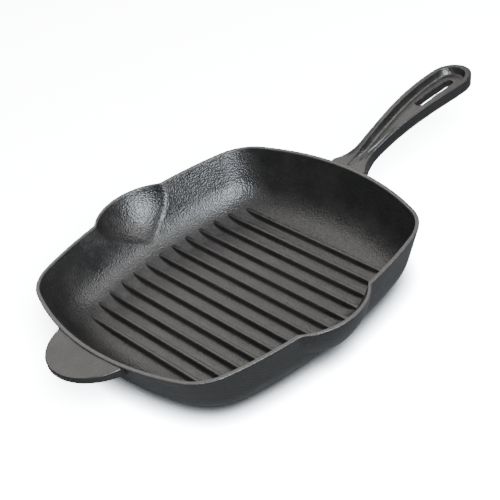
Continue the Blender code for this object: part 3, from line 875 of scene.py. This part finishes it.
def seasoned_iron(name, grain_group, dark, brown, roughness, grains, relief, wear_and_sheen_from=None):
    """Black iron under baked oil: dark in thick patches, browner in thin ones, with a cast grain.

    Above the height wear_and_sheen_from the colour is painted lighter and partly metallic: worn seasoning
    on the rim's top and a painted highlight there.
    """
    material = bpy.data.materials.new(name)
    material.use_nodes = True
    tree = material.node_tree
    shader = tree.nodes["Principled BSDF"]
    place = add(tree, "ShaderNodeTexCoord").outputs["Object"]
    grain = add(tree, "ShaderNodeGroup", node_tree=grain_group)
    tree.links.new(place, grain.inputs["Vector"])
    grain.inputs["Grains per metre"].default_value = grains
    colour = add(tree, "ShaderNodeMix", {MIX_FIRST: (*dark, 1.0), MIX_SECOND: (*brown, 1.0)},
                 data_type="RGBA")
    tree.links.new(grain.outputs["Patches"], colour.inputs[MIX_SHARE])
    light = add(tree, "ShaderNodeMapRange", {"Value": grain.outputs["Grain"], "From Min": 0.5,
                                             "From Max": 1.6, "To Min": 0.72, "To Max": 1.25})
    tinted = add(tree, "ShaderNodeVectorMath", {0: colour.outputs[MIX_COLOUR]}, operation="SCALE")
    tree.links.new(light.outputs["Result"], tinted.inputs["Scale"])
    if wear_and_sheen_from is None:
        tree.links.new(tinted.outputs["Vector"], shader.inputs["Base Color"])
    else:
        # Rim top painted lighter and metallic: worn seasoning and a painted highlight.
        height = add(tree, "ShaderNodeSeparateXYZ", {0: place})
        wear_and_sheen_mask = add(tree, "ShaderNodeMapRange", {"Value": height.outputs["Z"], "From Min": wear_and_sheen_from,
                                                "From Max": wear_and_sheen_from + RIM_WEAR_AND_SHEEN_BAND})
        rubbed_and_sheen = add(tree, "ShaderNodeMath", {0: wear_and_sheen_mask.outputs["Result"], 1: light.outputs["Result"]},
                     operation="MULTIPLY")
        wear_and_sheen_share = add(tree, "ShaderNodeMath", {0: rubbed_and_sheen.outputs[0], 1: RIM_WEAR_AND_SHEEN_SHARE}, operation="MULTIPLY")
        skin = add(tree, "ShaderNodeMix", {MIX_SECOND: RIM_WEAR_AND_SHEEN_IRON}, data_type="RGBA")
        tree.links.new(wear_and_sheen_share.outputs[0], skin.inputs[MIX_SHARE])
        tree.links.new(tinted.outputs["Vector"], skin.inputs[MIX_FIRST])
        tree.links.new(skin.outputs[MIX_COLOUR], shader.inputs["Base Color"])
        tree.links.new(wear_and_sheen_share.outputs[0], shader.inputs["Metallic"])
    gloss = add(tree, "ShaderNodeMapRange", {"Value": grain.outputs["Patches"],
                                             "To Min": roughness - GLOSS_SPREAD,
                                             "To Max": roughness + GLOSS_SPREAD})
    tree.links.new(gloss.outputs["Result"], shader.inputs["Roughness"])
    bump = add(tree, "ShaderNodeBump",
               {"Height": grain.outputs["Height"], "Strength": 1.0, "Distance": relief})
    tree.links.new(bump.outputs["Normal"], shader.inputs["Normal"])
    shader.inputs["Metallic"].default_value = 0.0
    shader.inputs["IOR"].default_value = 1.6
    shader.inputs["Specular IOR Level"].default_value = 0.5
    return material


def table_material():
    """Matt table top: the eye sees it near white, while it throws back less light onto the pan.

    What the eye sees carries a painted contact shadow: it darkens close to the pan, by a power of the open
    share of the sky.
    """
    material = bpy.data.materials.new("pale_table")
    material.use_nodes = True
    tree = material.node_tree
    tree.nodes.remove(tree.nodes["Principled BSDF"])
    thrown = add(tree, "ShaderNodeBsdfDiffuse", {"Color": (TABLE_THROWN,) * 3 + (1.0,)})
    # Painted contact shadow: the open share of the sky near the pan darkens the colour the eye sees.
    near = add(tree, "ShaderNodeAmbientOcclusion", {"Distance": CONTACT_SHADOW_REACH}, samples=CONTACT_SHADOW_SAMPLES)
    painted_shadow = add(tree, "ShaderNodeMath", {0: near.outputs["AO"], 1: CONTACT_SHADOW_POWER}, operation="POWER")
    bright = add(tree, "ShaderNodeMath", {0: painted_shadow.outputs[0], 1: TABLE_SEEN}, operation="MULTIPLY")
    seen_with_painted_shadow = add(tree, "ShaderNodeBsdfDiffuse", {"Color": bright.outputs[0]})
    ray = add(tree, "ShaderNodeLightPath")
    both = add(tree, "ShaderNodeMixShader", {0: ray.outputs["Is Camera Ray"]})
    tree.links.new(thrown.outputs["BSDF"], both.inputs[1])
    tree.links.new(seen_with_painted_shadow.outputs["BSDF"], both.inputs[2])
    tree.links.new(both.outputs["Shader"], tree.nodes["Material Output"].inputs["Surface"])
    return material


# ---------------------------------------------------------------- stage

def table():
    """Pale table top, a wide flat square just under the pan."""
    mesh = bpy.data.meshes.new("table")
    turns = ((-1.0, -1.0), (1.0, -1.0), (1.0, 1.0), (-1.0, 1.0))
    corners = [(x * TABLE_HALF_SIDE, y * TABLE_HALF_SIDE, -TABLE_DROP) for x, y in turns]
    mesh.from_pydata(corners, [], [(0, 1, 2, 3)])
    mesh.materials.append(table_material())
    made = bpy.data.objects.new("table", mesh)
    bpy.context.scene.collection.objects.link(made)


def soft_light(name, place, size, power, colour, lit=None):
    """Rectangular soft light at place, turned to face the middle of the pan's underside.

    If a collection is given as lit, the light reaches only the pieces in it.
    """
    data = bpy.data.lights.new(name, "AREA")
    data.shape = "RECTANGLE"
    data.size, data.size_y = size
    data.energy = power
    data.color = colour
    made = bpy.data.objects.new(name, data)
    made.location = place
    made.rotation_euler = (-Vector(place)).to_track_quat("-Z", "Y").to_euler()
    if lit is not None:
        made.light_linking.receiver_collection = lit
    bpy.context.scene.collection.objects.link(made)


def lights(pieces):
    """Four soft lights, behind, at the right, overhead and in front, and a dim room that looks white.

    The ones behind and at the right light only the pan, so they throw no long shadow on the table.
    """
    lit = bpy.data.collections.new("lit_pieces")
    for piece in pieces:
        lit.objects.link(piece)
    soft_light("back_softbox", place=(0.55, 1.45, 1.35), size=(2.0, 1.4), power=BACK_POWER,
               colour=(1.0, 0.965, 0.925), lit=lit)
    soft_light("right_softbox", place=(1.1, -0.7, 1.5), size=(1.1, 0.9), power=RIGHT_POWER,
               colour=(1.0, 0.98, 0.96), lit=lit)
    soft_light("top_softbox", place=(-0.2, 0.0, 1.6), size=(2.4, 2.4), power=TOP_POWER,
               colour=(1.0, 0.985, 0.97))
    soft_light("front_softbox", place=(-0.32, -1.25, 1.15), size=(1.0, 1.3), power=FRONT_POWER,
               colour=(0.87, 0.93, 1.0))
    world = bpy.data.worlds.new("room")
    world.use_nodes = True
    tree = world.node_tree
    ray = add(tree, "ShaderNodeLightPath")
    bright = add(tree, "ShaderNodeMapRange",
                 {"Value": ray.outputs["Is Camera Ray"], "To Min": ROOM_THROWN, "To Max": ROOM_SEEN})
    tree.links.new(bright.outputs["Result"], tree.nodes["Background"].inputs["Strength"])
    tree.nodes["Background"].inputs["Color"].default_value = (1.0, 1.0, 1.0, 1.0)
    bpy.context.scene.world = world


def camera():
    """Long lens that looks down on the pan from the near left, rolled so that the handle rises."""
    back_x = math.sin(CAMERA_AZIMUTH) * math.cos(CAMERA_HEIGHT)
    back_y = -math.cos(CAMERA_AZIMUTH) * math.cos(CAMERA_HEIGHT)
    back = Vector((back_x, back_y, math.sin(CAMERA_HEIGHT)))
    across = Vector((0.0, 0.0, 1.0)).cross(back).normalized()
    up = back.cross(across)
    right = across * math.cos(CAMERA_ROLL) + up * math.sin(CAMERA_ROLL)
    above = up * math.cos(CAMERA_ROLL) - across * math.sin(CAMERA_ROLL)
    data = bpy.data.cameras.new("camera")
    data.sensor_width = CAMERA_SENSOR
    data.lens = CAMERA_LENS
    made = bpy.data.objects.new("camera", data)
    turn = Matrix((right, above, back)).transposed().to_4x4()
    made.matrix_world = Matrix.Translation(Vector(CAMERA_AIM) + back * CAMERA_DISTANCE) @ turn
    bpy.context.scene.collection.objects.link(made)
    bpy.context.scene.camera = made


# ---------------------------------------------------------------- assembly

def cast_region(piece, node):
    """Ties a finished surface to the pan's body and hides the CAD node that it stands for."""
    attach(piece, "root")
    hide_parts(node)
    return piece


grain_group = cast_grain_group()
bowl_iron = seasoned_iron("bowl_iron", grain_group, THICK_OIL, THIN_OIL, roughness=0.33, grains=860.0,
                          relief=0.20 * MM, wear_and_sheen_from=RIM_Z - RIM_WEAR_AND_SHEEN_DEPTH)
ridge_iron = seasoned_iron("ridge_iron", grain_group, THICK_OIL, THIN_OIL, roughness=0.34, grains=780.0,
                           relief=0.13 * MM)
handle_iron = seasoned_iron("handle_iron", grain_group, THICK_OIL, THIN_OIL, roughness=0.32, grains=780.0,
                            relief=0.12 * MM)
tab_iron = seasoned_iron("tab_iron", grain_group, TAB_THICK_OIL, TAB_THIN_OIL, roughness=0.36, grains=780.0,
                         relief=0.10 * MM)

pieces = [cast_region(pan_bowl(bowl_iron), "pan_body")]
for number in range(1, RIDGE_COUNT + 1):
    pieces.append(cast_region(grill_ridge(number, ridge_iron), f"grill_ridge_{number:02d}"))
pieces.append(cast_region(helper_tab(tab_iron), "helper_tab"))
pieces.append(cast_region(long_handle(handle_iron), "long_handle"))

table()
lights(pieces)
camera()
